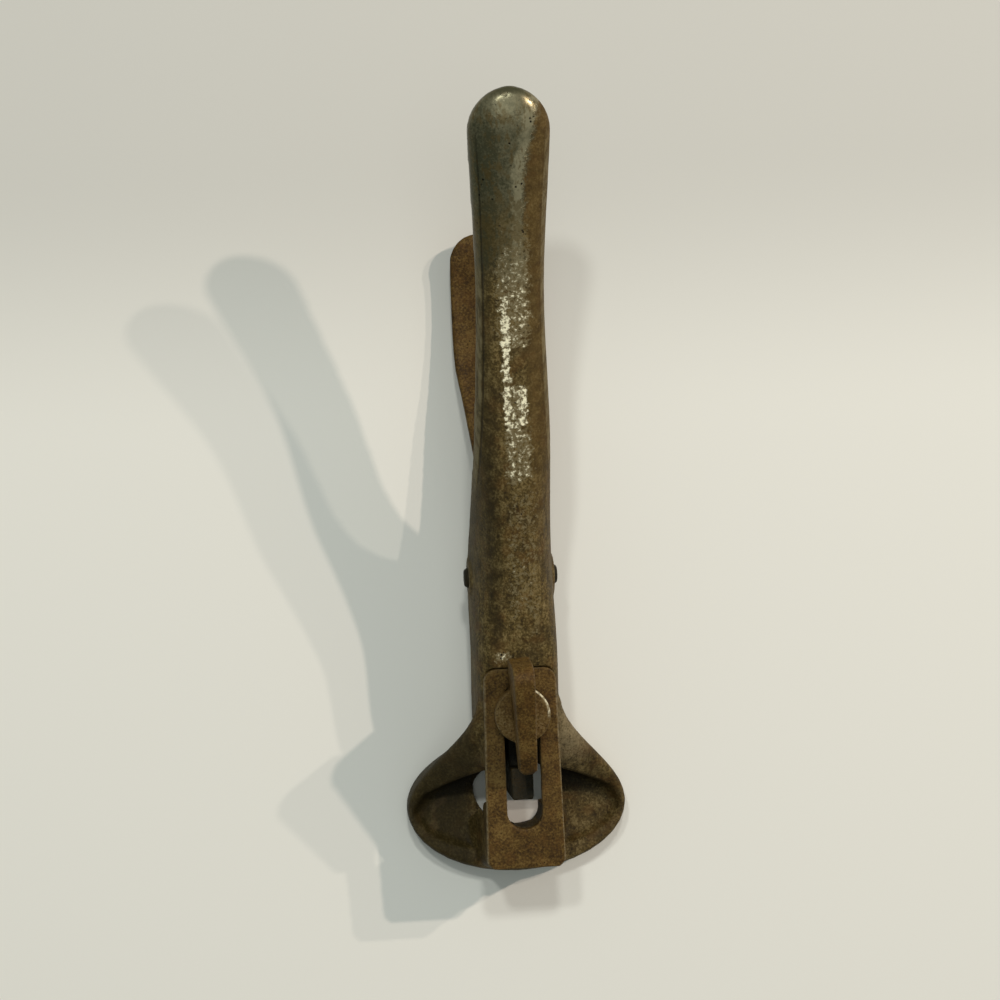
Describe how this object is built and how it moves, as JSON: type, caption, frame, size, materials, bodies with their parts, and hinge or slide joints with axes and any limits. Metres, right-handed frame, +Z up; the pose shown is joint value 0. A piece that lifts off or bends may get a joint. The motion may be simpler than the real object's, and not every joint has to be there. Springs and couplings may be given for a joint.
{
  "type": "saw set",
  "caption": "Pliers-type saw set with a winged foot, a hammer driven by the lower handle and a slotted gauge plate held by a thumbscrew.",
  "frame": {"origin": "middle of the tool's length and width, on the flat underside of the winged foot", "axes": "+X across the tool to its right as seen from the handle ends, +Y from the head to the handle ends, +Z up from the foot"},
  "size_m": [0.0524, 0.1784, 0.0647],
  "materials": {
    "upper_handle": "worn nickel over brown cast iron",
    "lower_handle": "matt rust brown",
    "pivot_pin": "dark riveted steel",
    "hammer": "dark hardened steel",
    "return_spring": "dark spring wire",
    "gauge_plate": "rusted, worn light at the edges",
    "clamp_washer": "rusted, worn light at the edges",
    "thumbscrew": "rusted, worn light at the edges",
    "anvil": "dark hardened steel",
    "anvil_screws": "dark steel"
  },
  "bodies": {
    "frame": {"upper_handle": "upper_handle", "pivot_pin": "pivot_pin", "anvil": "anvil", "anvil_screws": "anvil_screws", "clamp_washer": "clamp_washer", "return_spring": "return_spring"},
    "lever": {"lower_handle": "lower_handle"},
    "hammer": {"hammer": "hammer"},
    "gauge": {"gauge_plate": "gauge_plate"},
    "screw": {"thumbscrew": "thumbscrew"}
  },
  "joints": [
    {"name": "squeeze", "type": "hinge", "parent": "frame", "child": "lever", "pos_m": [0, -0.0182, 0.016], "axis": [1, 0, 0], "range_deg": [0, 16], "stiffness_Nm_per_rad": 0.6, "springref_deg": -40.11},
    {"name": "hammer_slide", "type": "slide", "parent": "frame", "child": "hammer", "axis": [0, -1, 0], "range_m": [0, 0.0024], "deforming": ["return_spring"]},
    {"name": "gauge_slide", "type": "slide", "parent": "frame", "child": "gauge", "axis": [0, -0.9976, -0.0698], "range_m": [0, 0.0034]},
    {"name": "thumbscrew_turn", "type": "hinge", "parent": "frame", "child": "screw", "pos_m": [0, -0.04947, 0.02538], "axis": [0, -0.0698, 0.9976], "range_deg": [0, 360]}
  ],
  "couplings": [
    {"joint": "hammer_slide", "follows": "squeeze", "m_per_rad": 0.0083}
  ]
}
